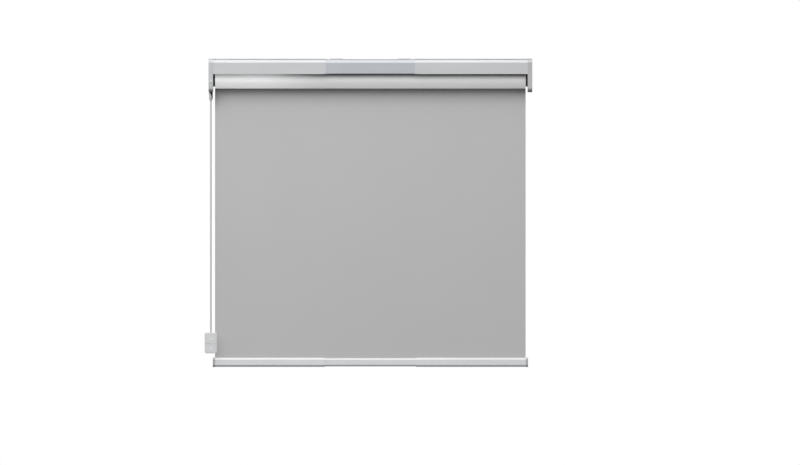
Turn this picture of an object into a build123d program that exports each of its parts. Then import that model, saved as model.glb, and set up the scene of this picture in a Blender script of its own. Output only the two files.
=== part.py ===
from build123d import *
import os
from math import pi, cos, sin, tan, radians, sqrt, acos, atan2

# Motorized roller shade, fixed to a wall at its back. Millimetres.
# X runs along the rail (positive to the right as seen from the room), Y goes into the wall (the wall is Y = 0,
# the room is at -Y), Z is up. The origin is the centre of the four wall screw holes.

# ---- driving dimensions -------------------------------------------------------------------------------------
X_END = 500.0            # half the overall width, outer face of the end covers
COVER_T = 14.0           # thickness of an end bracket along X
RAIL_F, RAIL_B = -70.0, -9.0     # head rail front and back faces
RAIL_T, RAIL_L = 24.0, -24.0     # head rail top, and the lower lips
BEVEL_Z0, BEVEL_Z1, BEVEL_Y = 12.0, 20.3, -63.5   # sloped band along the top front edge
LIP_Y = -65.0            # the lip above the band leans forward a little
WALL = 1.2               # extrusion wall
NEST = 1.4               # how far the inner profile sits inside a sleeve (wall + 0.2 mm play)
PROFILE_HALF = 400.0     # inner head profile, half length
SLEEVE_IN = 138.0        # where a head rail sleeve ends, from the middle
FLOOR_Z = -16.2          # underside of the inner profile's floor

BR_TOP, BR_BOT = 24.5, -79.2     # end brackets
BR_F, BR_B = -71.5, -8.0

ROLL_Y, ROLL_Z = -39.5, -44.6    # axis of the roll
R_ROLL = 23.5            # outside of the wound cloth
CLOTH_HALF = 480.0       # half the cloth's width
TUBE_R, TUBE_RI = 19.0, 17.7     # centre tube
END_R, END_RI = 17.5, 16.3       # end tubes, which slide inside the centre tube
TUBE_HALF = 478.0
END_OUT, END_IN = 479.6, 178.0   # end tubes: outer and inner ends, from the middle
HUB_R = 17.6             # motor head and idler boss seen between bracket and roll

CLOTH_F, CLOTH_B = -15.9, -15.4  # the hanging cloth
CLOTH_BOT = -906.0
BAR_T, BAR_B = -900.7, -928.7    # bottom rail, top and bottom
BAR_F, BAR_R = -22.7, -8.7       # bottom rail, front and rear faces
BAR_NEST = 1.4
BAR_WALL = 1.1
BAR_PROFILE_HALF = 400.0
BAR_SLEEVE_IN = 140.5
BAR_END, CAP_END = 480.7, 487.5  # sleeve end and cap end

CORD_X, CORD_Y, CORD_R = -493.0, -40.0, 2.5
CORD_TOP, PEND_TOP, PEND_BOT = -106.0, -822.8, -886.4
PEND_X, PEND_W = -493.2, 38.0
PEND_F, PEND_SPLIT, PEND_B = -46.5, -40.0, -33.5
PEND_DIV = -857.2

# planetary gear set: module 0.6, 12 / 15 / 42 teeth, three planets
MOD, N_SUN, N_PLANET, N_RING = 0.6, 12, 15, 42
CENTRE = MOD * (N_SUN + N_PLANET) / 2
GEAR_X0, GEAR_X1 = -362.0, -351.0
PLANET_AT = (90.0, 210.0, 330.0)

# mounting clips
CLIP_X, CLIP_W = 105.0, 40.0
HOLE_R, HOLE_DZ = 2.4, 10.0      # wall screw holes
CEIL_Y0, CEIL_DY = -34.0, 12.0   # ceiling screw holes

parts = {}


# ---- helpers ------------------------------------------------------------------------------------------------
def box(x0, x1, y0, y1, z0, z1):
    return Pos((x0 + x1) / 2, (y0 + y1) / 2, (z0 + z1) / 2) * Box(x1 - x0, y1 - y0, z1 - z0)


def rod_x(r, x0, x1, y=ROLL_Y, z=ROLL_Z):
    return Pos((x0 + x1) / 2, y, z) * Rot(0, 90, 0) * Cylinder(r, x1 - x0)


def ring_x(r, ri, x0, x1, y=ROLL_Y, z=ROLL_Z):
    return rod_x(r, x0, x1, y, z) - rod_x(ri, x0 - 1, x1 + 1, y, z)


def rod_y(r, y0, y1, x, z):
    return Pos(x, (y0 + y1) / 2, z) * Rot(90, 0, 0) * Cylinder(r, y1 - y0)


def rod_z(r, z0, z1, x, y):
    return Pos(x, y, (z0 + z1) / 2) * Cylinder(r, z1 - z0)


def face_of(points):
    return make_face(Polyline(*points, close=True))


def along_x(face, x0, x1):
    """A section drawn in (Y, Z), extruded from x0 to x1."""
    return extrude(Plane.YZ.offset(x0) * face, amount=x1 - x0, dir=(1, 0, 0))


def along_y(face, y0, y1):
    """A shape drawn in (X, Z), extruded from y0 to y1."""
    return Pos(0, y0, 0) * extrude(Plane.XZ * face, amount=y1 - y0, dir=(0, 1, 0))


def grown(face, d):
    return offset(face, amount=d, kind=Kind.INTERSECTION)


def rect(a0, a1, b0, b1):
    return Pos((a0 + a1) / 2, (b0 + b1) / 2) * Rectangle(a1 - a0, b1 - b0)


def rounded(face, corners, r):
    """The face with the corners nearest to these points rounded."""
    for a, b in corners:
        v = min(face.vertices(), key=lambda v: (v.X - a) ** 2 + (v.Y - b) ** 2)
        face = fillet([v], r)
    return face


def mirrored(shape):
    return mirror(shape, about=Plane.YZ)


def one(shape):
    """The single solid of a finished piece."""
    s = shape.solids()
    assert len(s) == 1, f"{len(s)} solids"
    return s[0]


def many(shapes):
    return Compound(children=[one(s) for s in shapes])


# ---- head rail sections -------------------------------------------------------------------------------------
RAIL_CORNERS = [
    (RAIL_F, RAIL_L), (RAIL_F, BEVEL_Z0), (BEVEL_Y, BEVEL_Z1), (LIP_Y, RAIL_T),
    (RAIL_B, RAIL_T), (RAIL_B, RAIL_L),
]
outline = face_of(RAIL_CORNERS)
mouth = rect(-66.0, -13.0, RAIL_L - 1, RAIL_L + WALL + 0.4)      # the sleeves are open below, between two hooks
sleeve_section = rounded(outline - grown(outline, -WALL) - mouth, RAIL_CORNERS, 0.7)

inner_outline = grown(outline, -NEST)
inner_room = grown(outline, -NEST - WALL)
floor = rect(RAIL_F + NEST + WALL - 0.5, RAIL_B - NEST - WALL + 0.5, FLOOR_Z, FLOOR_Z + WALL)
inner_mouth = rect(-64.6, -14.4, RAIL_L + NEST - 1, RAIL_L + NEST + WALL + 0.4)
groove_in = rect(-57.5, -53.5, RAIL_T - NEST - 1.6, RAIL_T)       # clip groove in the top wall
groove_under = rect(-58.7, -52.3, RAIL_T - NEST - 2.8, RAIL_T - NEST - 0.5)
inner_section = (inner_outline - inner_room - inner_mouth) + floor + groove_under - groove_in
inner_section = rounded(inner_section, RAIL_CORNERS, 0.7)

parts["headrail_profile"] = one(along_x(inner_section, -PROFILE_HALF, PROFILE_HALF))

sleeve_l = one(along_x(sleeve_section, -X_END + COVER_T, -SLEEVE_IN))
parts["headrail_sleeve_left"] = sleeve_l
parts["headrail_sleeve_right"] = one(mirrored(sleeve_l))

# moulded insert in the sleeve's outer end, with two screw bosses
insert_clip = rect(-75, 0, -15.6, 30)
insert_out = grown(outline, -WALL - 0.05) & insert_clip
insert_in = grown(insert_out, -2.2)
BOSS = ((-62.2, -9.0), (-16.8, -9.0))
insert_face = insert_out - insert_in
insert = along_x(insert_face, -486.0, -450.0)
for by, bz in BOSS:
    insert += along_x((Pos(by, bz) * Circle(4.4)) & insert_out, -486.0, -466.0)
for by, bz in BOSS:
    insert -= rod_x(1.5, -487.0, -470.0, by, bz)
insert = one(insert)
parts["sleeve_insert_left"] = insert
parts["sleeve_insert_right"] = one(mirrored(insert))

# ---- end brackets -------------------------------------------------------------------------------------------
# The lower front is two arcs, the second one wider, so that the underside comes forward in a flat curve.
CHIN_R1, CHIN_R2 = 9.0, 22.0
H = sqrt(0.5)
chin_z = BR_BOT + CHIN_R1 * H + CHIN_R2 * (1 - H)
c1 = (BR_F + CHIN_R1, chin_z)
chin_mid = (c1[0] - CHIN_R1 * H, c1[1] - CHIN_R1 * H)
c2 = (chin_mid[0] + CHIN_R2 * H, chin_mid[1] + CHIN_R2 * H)
a1, a2 = radians(22.5), radians(67.5)
chin = [
    ThreePointArc((BR_F, chin_z), (c1[0] - CHIN_R1 * cos(a1), c1[1] - CHIN_R1 * sin(a1)), chin_mid),
    ThreePointArc(chin_mid, (c2[0] - CHIN_R2 * cos(a2), c2[1] - CHIN_R2 * sin(a2)), (c2[0], BR_BOT)),
]
bracket_face = make_face([
    *Polyline((c2[0], BR_BOT), (BR_B, BR_BOT), (BR_B, BR_TOP), (BEVEL_Y - 1.4, BR_TOP), (BEVEL_Y - 1.4, BEVEL_Z1 + 0.6),
              (BR_F, BEVEL_Z0 + 0.6), (BR_F, chin_z)).edges(), *chin])
bracket_face = rounded(bracket_face, [(BR_B, BR_BOT)], 8.0)

RIM = 1.8
soft_face = rounded(bracket_face, [(BR_F, BEVEL_Z0 + 0.6), (BEVEL_Y - 1.4, BEVEL_Z1 + 0.6), (BEVEL_Y - 1.4, BR_TOP), (BR_B, BR_TOP)], 1.4)
cover = along_x(soft_face, -X_END, -486.0)
cover = fillet(cover.faces().sort_by(Axis.X)[0].edges(), 1.0)
cover -= along_x(grown(bracket_face, -RIM), -498.4, -485.0)
plate_face = grown(bracket_face, -RIM - 0.1)
plate = along_x(plate_face, -488.0, -486.0)
for by, bz in BOSS:
    plate -= rod_x(1.65, -490.0, -485.0, by, bz)

# left cover: pair button window, charge port recess with its slot, and the cord socket's hole
cover_l = cover - box(-496.6, -489.4, -73.0, -68.0, -47.1, -40.9)
cover_l -= box(-497.6, -488.4, -73.0, -70.5, -66.6, -49.0)
cover_l -= box(-495.2, -490.8, -73.0, -68.0, -63.2, -52.8)
cover_l -= rod_z(4.1, BR_BOT - 1.0, BR_BOT + 3.0, CORD_X, CORD_Y)
parts["end_cover_left"] = one(cover_l)
parts["end_cover_right"] = one(mirrored(cover))

plate_l = plate - box(-490.0, -485.0, ROLL_Y - 4.05, ROLL_Y + 4.05, ROLL_Z - 4.05, ROLL_Z + 4.05)
plate_l -= rod_x(4.0, -490.0, -485.0, -39.5, 1.0)
parts["end_plate_left"] = one(plate_l)
parts["end_plate_right"] = one(mirrored(plate - rod_x(3.06, -490.0, -485.0)))

screws = []
for by, bz in BOSS:
    s = rod_x(1.45, -488.2, -472.0, by, bz) + rod_x(2.8, -490.2, -488.0, by, bz)
    s -= along_x(Plane.XY * (Pos(by, bz) * RegularPolygon(1.25, 6)), -491.0, -489.2)
    screws.append(s)
parts["end_screws_left"] = many(screws)
parts["end_screws_right"] = many([mirrored(s) for s in screws])

# charge socket behind the flap: a metal shell with a tongue
shell = box(-494.6, -491.4, -69.6, -62.0, -62.5, -53.5)
shell = fillet(shell.edges().filter_by(Axis.Y), 1.4)
hole = box(-494.2, -491.8, -70.0, -63.0, -62.1, -53.9)
hole = fillet(hole.edges().filter_by(Axis.Y), 1.1)
parts["charge_socket"] = one(shell - hole + box(-493.4, -492.6, -68.8, -62.5, -61.0, -55.0))

# flap over the charge port, hinged along its upper edge, with a nub that seals the slot
flap = box(-497.4, -488.6, -71.75, -70.6, -66.4, -50.2) + rod_x(0.6, -497.4, -488.6, -71.1, -50.2)
flap = flap + box(-494.6, -491.4, -70.8, -69.9, -61.6, -55.0)
parts["charge_flap"] = one(flap)

# pair button with a lit window
pb = box(-496.45, -489.55, -71.9, -69.2, -46.95, -41.05)
pb = fillet(pb.edges().filter_by(Axis.Y), 0.8)
parts["pair_button"] = one(pb + box(-497.4, -488.6, -69.2, -68.5, -47.6, -40.4))

# cord socket: dark plug seat below the left cover, cut along a curve, with a hollow for the plug
slant = make_face([
    *Polyline((-490.9, -98.8), (-480.0, -98.8), (-480.0, -120.0), (-510.0, -120.0), (-510.0, -66.0), (-499.6, -77.4)).edges(),
    ThreePointArc((-499.6, -77.4), (-493.2, -85.3), (-490.9, -98.8)),
])
slant_cut = along_y(slant, -60.0, -20.0)
sock = rod_z(4.0, BR_BOT - 0.2, BR_BOT + 2.0, CORD_X, CORD_Y) + (rod_z(5.8, -98.7, BR_BOT, CORD_X, CORD_Y) - slant_cut)
sock -= rod_z(2.4, -100.0, BR_BOT - 1.0, CORD_X, CORD_Y)
parts["cord_socket"] = one(sock)

# cord fitting: tapered boot, cut along the same curve, and a plug that goes up into the socket
boot = rod_z(6.2, -98.8, -80.0, CORD_X, CORD_Y) & slant_cut
taper = Pos(CORD_X, CORD_Y, (-98.8 + CORD_TOP) / 2) * Cone(2.9, 6.2, -98.8 - CORD_TOP)
fit = boot + taper + rod_z(2.3, -98.0, -81.0, CORD_X, CORD_Y)
parts["cord_fitting"] = one(fit)

# ---- mounting clips -----------------------------------------------------------------------------------------
T = 1.5
clip_side = face_of([
    (0.0, 24.6), (0.0, -24.6), (-16.2, -24.6), (-16.2, -23.1), (-1.5, -23.1), (-1.5, 23.1), (-54.6, 23.1),
    (-54.6, 21.2), (-56.1, 21.2), (-56.1, 24.6),
])
clip_side = rounded(clip_side, [(0.0, 24.6), (0.0, -24.6)], 2.0)
clip_side = rounded(clip_side, [(-1.5, 23.1), (-1.5, -23.1)], 0.5)
hookup = face_of([(-16.2, -24.6), (-14.7, -24.6), (-14.7, -19.2), (-16.2, -19.2)])
clip = along_x(clip_side + hookup, -CLIP_X - CLIP_W / 2, -CLIP_X + CLIP_W / 2)
# stiffening rib pressed between the two wall holes
clip += box(-CLIP_X - 3.0, -CLIP_X + 3.0, -2.6, -1.4, -5.0, 5.0)
for dz in (-HOLE_DZ, HOLE_DZ):
    clip -= rod_y(HOLE_R, -3.0, 1.0, -CLIP_X, dz)
for dy in (-CEIL_DY, CEIL_DY):
    clip -= rod_z(HOLE_R, 22.0, 26.0, -CLIP_X, CEIL_Y0 + dy)
clip = one(clip)
parts["mounting_clips"] = Compound(children=[clip, one(mirrored(clip))])

# ---- battery ------------------------------------------------------------------------------------------------
BAT_Y, BAT_Z = -39.5, 0.0
parts["battery_casing"] = one(ring_x(11.0, 9.6, -142.0, 142.0, BAT_Y, BAT_Z))
parts["battery_cells"] = many([
    rod_x(9.2, -135.0 + 67.6 * i, -135.0 + 67.6 * i + 65.2, BAT_Y, BAT_Z)
    + rod_x(2.6, -135.0 + 67.6 * i + 65.0, -135.0 + 67.6 * i + 66.6, BAT_Y, BAT_Z) for i in range(4)])
cap = rod_x(11.0, 142.0, 147.0, BAT_Y, BAT_Z) + rod_x(9.5, 137.5, 143.0, BAT_Y, BAT_Z)
parts["battery_caps"] = many([cap, mirrored(cap) - rod_x(1.9, -150.0, -144.0, BAT_Y, BAT_Z)])
cradles = []
for cx in (-100.0, 100.0):
    c = box(cx - 8, cx + 8, BAT_Y - 15.0, BAT_Y + 15.0, FLOOR_Z + WALL, BAT_Z + 6.0)
    c -= rod_x(11.05, cx - 10, cx + 10, BAT_Y, BAT_Z)
    c -= box(cx - 9, cx + 9, BAT_Y - 10.0, BAT_Y + 10.0, BAT_Z, BAT_Z + 8.0)
    cradles.append(c)
parts["battery_cradles"] = many(cradles)
parts["battery_lead"] = one(rod_x(1.9, -160.0, -147.0, BAT_Y, BAT_Z) + rod_x(3.2, -494.0, -160.0, BAT_Y, BAT_Z + 1.0))

# ---- motor, in the left end tube ----------------------------------------------------------------------------
head = rod_x(HUB_R, -486.0, -480.3) + rod_x(15.6, -480.4, -470.0) + rod_x(14.15, -470.1, -464.0)
head += box(-492.0, -486.0, ROLL_Y - 4.0, ROLL_Y + 4.0, ROLL_Z - 4.0, ROLL_Z + 4.0)
web = box(480.3, 486.0, ROLL_Y - 13.0, ROLL_Y + 13.0, ROLL_Z + 8.0, -18.0)      # stands up into the rail's mouth
head += mirrored(web)
parts["motor_head"] = one(head)
parts["motor_casing"] = one(ring_x(15.0, 14.2, -470.0, -334.0))
board = box(-461.0, -421.0, ROLL_Y - 11.0, ROLL_Y + 11.0, ROLL_Z - 0.8, ROLL_Z + 0.8)
for x0, x1, y0, y1, h in ((-456, -446, -5, 5, 1.2), (-442, -437, -8, -3, 3.0), (-442, -434, 1, 8, 4.5), (-430, -424, -6, 6, 5.0)):
    board += box(x0, x1, ROLL_Y + y0, ROLL_Y + y1, ROLL_Z + 0.7, ROLL_Z + 0.8 + h)
parts["control_board"] = one(board)
can = rod_x(14.1, -416.0, -372.0) - rod_x(12.6, -414.8, -373.2)
can -= rod_x(1.55, -418.0, -370.0)
parts["motor_can"] = one(can)
rotor = rod_x(11.8, -406.0, -380.0) + rod_x(4.0, -412.5, -405.0) + rod_x(1.5, -417.5, -351.0)
for k in range(9):      # slots between the armature's poles
    rotor -= Pos(0, ROLL_Y, ROLL_Z) * Rot(40 * k, 0, 0) * box(-407.0, -379.0, 7.0, 12.5, -0.8, 0.8)
parts["motor_rotor"] = one(rotor)


def involute_half(n, phi0, r, alpha=radians(20)):
    """Angle of a tooth flank from the tooth's middle at radius r; phi0 is half the tooth's angle at the pitch circle."""
    rp = MOD * n / 2
    rb = rp * cos(alpha)
    inv = lambda a: tan(a) - a
    a = acos(min(1.0, rb / r))
    return phi0 + inv(alpha) - inv(a)


def gear_points(n, add, ded, thin, phase, inner=False):
    """Outline of a gear with n teeth, the middle of one at angle phase, each flank moved back by thin mm."""
    rp = MOD * n / 2
    rb = rp * cos(radians(20))
    pts = []
    r_tip, r_root = (rp - add, rp + ded) if inner else (rp + add, rp - ded)
    half = pi / (2 * n)
    steps = 4
    for k in range(n):
        c = phase + 2 * pi * k / n
        flank = []
        for i in range(steps + 1):
            r = r_root + (r_tip - r_root) * i / steps
            rr = max(r, rb * 1.0001)
            if inner:
                # a ring tooth is the space between two teeth of an outer gear of the same size
                a = pi / n - involute_half(n, half, rr) - thin / rp
            else:
                a = involute_half(n, half, rr) - thin / rp
            flank.append((r, a))
        pts += [(r * cos(c - a), r * sin(c - a)) for r, a in flank]
        pts += [(r * cos(c + a), r * sin(c + a)) for r, a in reversed(flank)]
    return pts


ADD, DED, THIN = 0.48, 0.72, 0.05
SUN_PHASE = 0.0


def planet_phase(i):
    phi = radians(PLANET_AT[i])
    return phi + pi + (pi - N_SUN * (SUN_PHASE - phi)) / N_PLANET


def ring_phase():
    phi = radians(PLANET_AT[0])
    return phi + (N_PLANET * (planet_phase(0) - phi) - pi) / N_RING


def gear_face(points):
    return Pos(ROLL_Y, ROLL_Z) * face_of(points)


sun = along_x(gear_face(gear_points(N_SUN, ADD, DED, THIN, SUN_PHASE)), GEAR_X0, GEAR_X1)
parts["sun_gear"] = one(sun - rod_x(1.5, GEAR_X0 - 1, GEAR_X1 + 1))
ring = rod_x(14.15, GEAR_X0 - 1.0, GEAR_X1 + 0.6)
ring -= along_x(gear_face(gear_points(N_RING, ADD, DED, THIN, ring_phase(), True)), GEAR_X0 - 3, GEAR_X1 + 3)
parts["ring_gear"] = one(ring)
carrier = rod_x(11.4, -350.2, -346.6) + rod_x(4.0, -346.7, -318.0)
for i, at in enumerate(PLANET_AT):
    py, pz = ROLL_Y + CENTRE * cos(radians(at)), ROLL_Z + CENTRE * sin(radians(at))
    g = along_x(Pos(py, pz) * face_of(gear_points(N_PLANET, ADD, DED, THIN, planet_phase(i))), GEAR_X0, GEAR_X1)
    parts[f"planet_gear_{i + 1}"] = one(g - rod_x(1.56, GEAR_X0 - 1, GEAR_X1 + 1, py, pz))
    carrier += rod_x(1.5, -362.6, -350.1, py, pz)
carrier -= box(-330.0, -317.0, ROLL_Y + 3.2, ROLL_Y + 5.0, ROLL_Z - 5.0, ROLL_Z + 5.0)      # flat for the drive wheel
parts["planet_carrier"] = one(carrier)
parts["gearbox_cover"] = one(rod_x(14.15, -345.0, -334.0) - rod_x(4.05, -346.0, -333.0))

# drive wheel: hub on the shaft's flat, six ribs, rim that grips the end tube
wheel = ring_x(16.25, 13.8, -329.0, -319.0) + rod_x(7.0, -329.0, -319.0)
for k in range(6):
    wheel += Pos(0, ROLL_Y, ROLL_Z) * Rot(60 * k, 0, 0) * box(-329.0, -319.0, 6.0, 14.2, -1.2, 1.2)
bore = rod_x(4.04, -331.0, -317.0) - box(-332.0, -316.0, ROLL_Y + 3.24, ROLL_Y + 5.0, ROLL_Z - 5.0, ROLL_Z + 5.0)
parts["drive_wheel"] = one(wheel - bore)
parts["crown_ring"] = one(ring_x(16.25, 15.66, -479.6, -472.0))
parts["tube_end_left"] = one(ring_x(END_R, END_RI, -END_OUT, -END_IN))

# ---- roll ---------------------------------------------------------------------------------------------------
tube = ring_x(TUBE_R, TUBE_RI, -TUBE_HALF, TUBE_HALF)
tube -= box(-TUBE_HALF - 1, TUBE_HALF + 1, ROLL_Y - 3.0, ROLL_Y + 3.0, ROLL_Z + 18.3, ROLL_Z + 20.0)
parts["tube_centre"] = one(tube)
parts["cloth_roll"] = one(ring_x(R_ROLL, TUBE_R + 0.05, -CLOTH_HALF, CLOTH_HALF))
parts["cloth_lock_strip"] = one(box(-476.0, 476.0, ROLL_Y - 2.8, ROLL_Y + 2.8, ROLL_Z + 18.35, ROLL_Z + 18.75))

# ---- idler, in the right end tube ---------------------------------------------------------------------------
parts["tube_end_right"] = one(ring_x(END_R, END_RI, END_IN, END_OUT))
parts["idler_boss"] = one(ring_x(HUB_R, 3.06, 480.3, 486.0) + web)
parts["idler_plug"] = one(rod_x(16.25, 436.0, 479.6) - rod_x(3.06, 439.0, 482.0)
                          - ring_x(14.0, 5.6, 430.0, 474.0)
                          + Pos(0, ROLL_Y, ROLL_Z) * box(436.0, 475.0, -14.6, -5.0, -1.0, 1.0)
                          + Pos(0, ROLL_Y, ROLL_Z) * box(436.0, 475.0, 5.0, 14.6, -1.0, 1.0)
                          + Pos(0, ROLL_Y, ROLL_Z) * box(436.0, 475.0, -1.0, 1.0, -14.6, -5.0)
                          + Pos(0, ROLL_Y, ROLL_Z) * box(436.0, 475.0, -1.0, 1.0, 5.0, 14.6))
pin = rod_x(3.0, 456.0, 487.6)
pin = chamfer(pin.edges().filter_by(GeomType.CIRCLE).sort_by(Axis.X)[-1:], 0.6)
parts["idler_pin"] = one(pin)
coil = Helix(pitch=2.55, height=15.3, radius=2.3, center=(0, 0, 0))
wire_at = Plane(origin=coil @ 0, z_dir=coil % 0)
spring = sweep(wire_at * Circle(0.35), path=coil, is_frenet=True)
parts["idler_spring"] = one(Pos(439.9, ROLL_Y, ROLL_Z) * Rot(0, 90, 0) * spring)

# ---- hanging cloth and bottom rail --------------------------------------------------------------------------
parts["shade_cloth"] = one(box(-CLOTH_HALF, CLOTH_HALF, CLOTH_F, CLOTH_B, CLOTH_BOT, ROLL_Z))

CH_Y, CH_T, CH_B = 3.6, 5.2, 6.0
BAR_CORNERS = [
    (BAR_F, BAR_B + CH_B), (BAR_F, BAR_T - CH_T), (BAR_F + CH_Y, BAR_T), (BAR_R - CH_Y, BAR_T),
    (BAR_R, BAR_T - CH_T), (BAR_R, BAR_B + CH_B), (BAR_R - CH_Y, BAR_B), (BAR_F + CH_Y, BAR_B),
]
bar_outline = face_of(BAR_CORNERS)
CL = (CLOTH_F + CLOTH_B) / 2
slot = rect(CL - 1.5, CL + 1.5, BAR_T - 6.0, BAR_T + 1.0)
bar_sleeve_section = rounded(bar_outline - grown(bar_outline, -BAR_WALL) - slot, BAR_CORNERS, 1.0)
bar_inner_out = grown(bar_outline, -BAR_NEST)
bar_inner_in = grown(bar_outline, -BAR_NEST - BAR_WALL)
shelf_z = BAR_T - 14.0
inner_slot = rect(CL - 1.1, CL + 1.1, BAR_T - 6.0, BAR_T + 1.0)
bar_inner_section = (bar_inner_out - bar_inner_in - inner_slot) + rect(BAR_F + 2.0, BAR_R - 2.0, shelf_z - 1.1, shelf_z)
bar_inner_section = rounded(bar_inner_section, BAR_CORNERS, 0.8)
parts["bottom_rail_profile"] = one(along_x(bar_inner_section, -BAR_PROFILE_HALF, BAR_PROFILE_HALF))
bsl = one(along_x(bar_sleeve_section, -BAR_END, -BAR_SLEEVE_IN))
parts["bottom_sleeve_left"] = bsl
parts["bottom_sleeve_right"] = one(mirrored(bsl))
cap_block = along_x(rounded(grown(bar_outline, 0.6), BAR_CORNERS, 0.9), -CAP_END, -BAR_END)      # stands proud of the sleeve
cap_block = fillet(cap_block.faces().sort_by(Axis.X)[0].edges(), 0.6)
ecap = cap_block + along_x(grown(bar_outline, -BAR_WALL - 0.05), -BAR_END - 0.5, -BAR_END + 9.0) \
    - along_x(grown(bar_outline, -BAR_WALL - 2.2), -BAR_END + 0.5, -BAR_END + 10.0) \
    - box(-BAR_END, -460.0, CL - 1.6, CL + 1.6, BAR_T - 8.0, BAR_T + 1.0)
parts["bottom_cap_left"] = one(ecap)
parts["bottom_cap_right"] = one(mirrored(ecap))
parts["hem_rod"] = one(rod_x(2.2, -395.0, 395.0, CL, -907.5) - box(-396.0, 396.0, CLOTH_F - 0.02, CLOTH_B + 0.02, CLOTH_BOT - 0.1, -900.0))
parts["weight_bar"] = one(box(-350.0, 350.0, CL - 3.2, CL + 3.2, BAR_B + 5.3, shelf_z - 1.4))

# ---- pendant ------------------------------------------------------------------------------------------------
parts["pendant_cord"] = one(rod_z(CORD_R, -828.0, CORD_TOP - 2.8, CORD_X, CORD_Y) + Pos(CORD_X, CORD_Y, CORD_TOP - 2.8) * Sphere(CORD_R))

PZ = (PEND_TOP + PEND_BOT) / 2
PH = PEND_TOP - PEND_BOT


def pend_face(d, r):
    return Pos(PEND_X, PZ) * RectangleRounded(PEND_W - 2 * d, PH - 2 * d, r)


front = along_y(pend_face(0.0, 4.5), PEND_F, PEND_SPLIT)
front = fillet(front.faces().sort_by(Axis.Y)[0].edges(), 0.7)
front -= along_y(pend_face(1.6, 2.6), PEND_F + 1.5, PEND_SPLIT + 1)
BW = PEND_W / 2 - 3.0
WIN = {
    "up": (PEND_X - BW, PEND_X + BW, PEND_DIV + 0.5, PEND_TOP - 3.0),
    "down": (PEND_X - BW, PEND_X + BW, PEND_BOT + 3.0, PEND_DIV - 0.5),
}
for x0, x1, z0, z1 in WIN.values():
    w = Pos((x0 + x1) / 2, (z0 + z1) / 2) * RectangleRounded(x1 - x0, z1 - z0, 1.6)
    front -= along_y(w, PEND_F - 1, PEND_F + 2)
front -= rod_z(2.6, PEND_TOP - 3.0, PEND_TOP + 1.0, CORD_X, CORD_Y)
parts["pendant_front"] = one(front)
back = along_y(pend_face(0.0, 4.5), PEND_SPLIT, PEND_B)
back = fillet(back.faces().sort_by(Axis.Y)[-1].edges(), 2.0)
back -= along_y(pend_face(1.6, 2.6), PEND_SPLIT - 1, PEND_B - 1.6)
back -= rod_z(2.6, PEND_TOP - 3.0, PEND_TOP + 1.0, CORD_X, CORD_Y)
parts["pendant_back"] = one(back)
brd = box(PEND_X - 15.5, PEND_X + 15.5, -41.6, -40.2, PEND_BOT + 3.0, -830.5)
LED_X, LED_Z = -505.2, -830.2
pipe_hole = rod_y(1.45, -60.0, -30.0, LED_X, LED_Z)
for name, (x0, x1, z0, z1) in WIN.items():
    g = 0.2
    f = Pos((x0 + x1) / 2, (z0 + z1) / 2) * RectangleRounded(x1 - x0 - 2 * g, z1 - z0 - 2 * g, 1.4)
    b = along_y(f, PEND_F - 0.5, PEND_F + 2.5)
    b = fillet(b.faces().sort_by(Axis.Y)[0].edges(), 0.4)
    lx0, lx1, lz0, lz1 = x0 - 0.6, x1 + 0.6, (z0 - 0.2 if name == "up" else z0 - 0.5), (z1 + 0.5 if name == "up" else z1 + 0.2)
    b += box(lx0, lx1, PEND_F + 1.6, PEND_F + 2.5, lz0, lz1)
    b += rod_y(2.0, PEND_F + 2.4, PEND_F + 3.8, (x0 + x1) / 2, (z0 + z1) / 2)
    if name == "up":
        b -= pipe_hole
        b -= box(-498.0, -488.0, PEND_F + 1.0, PEND_F + 4.0, PEND_TOP - 3.05, PEND_TOP)
    parts[f"button_{name}"] = one(b)
parts["pendant_board"] = one(brd)
parts["light_pipe"] = one(rod_y(1.2, PEND_F - 0.4, -41.6, LED_X, LED_Z))

# ---- write --------------------------------------------------------------------------------------------------
if __name__ == "__main__":
    os.makedirs("parts", exist_ok=True)
    for old in os.listdir("parts"):
        if old.endswith(".step") and old[:-5] not in parts:
            os.remove(os.path.join("parts", old))
    for name, shape in parts.items():
        export_step(shape, f"parts/{name}.step")
    print(len(parts), "nodes written")
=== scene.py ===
import math

import bmesh
import bpy
import numpy as np
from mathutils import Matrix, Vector


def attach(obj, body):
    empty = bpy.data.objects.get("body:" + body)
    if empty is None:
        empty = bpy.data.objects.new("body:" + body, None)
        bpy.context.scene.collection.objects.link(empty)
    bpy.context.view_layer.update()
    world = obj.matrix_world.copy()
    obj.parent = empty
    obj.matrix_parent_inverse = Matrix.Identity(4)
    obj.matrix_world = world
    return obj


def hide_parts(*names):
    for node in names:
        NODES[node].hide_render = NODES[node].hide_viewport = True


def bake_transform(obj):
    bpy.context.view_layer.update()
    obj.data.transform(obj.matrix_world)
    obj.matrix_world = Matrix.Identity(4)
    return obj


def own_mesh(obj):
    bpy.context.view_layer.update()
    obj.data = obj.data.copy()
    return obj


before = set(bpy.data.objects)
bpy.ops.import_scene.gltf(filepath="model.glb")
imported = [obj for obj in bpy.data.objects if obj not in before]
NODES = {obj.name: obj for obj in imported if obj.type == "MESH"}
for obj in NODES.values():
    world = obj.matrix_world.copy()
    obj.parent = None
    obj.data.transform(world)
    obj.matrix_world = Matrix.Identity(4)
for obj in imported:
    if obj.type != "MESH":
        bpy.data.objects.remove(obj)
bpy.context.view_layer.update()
SC = bpy.context.scene

# Places shared with the CAD, in metres.
ROLL_Y, ROLL_Z = -0.0395, -0.0446
CORD_X, CORD_Y = -0.493, -0.040
BUTTON_FACE_Y = -0.0470
PENDANT_X = -0.4932
DIVIDER_Z = -0.8572

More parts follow.
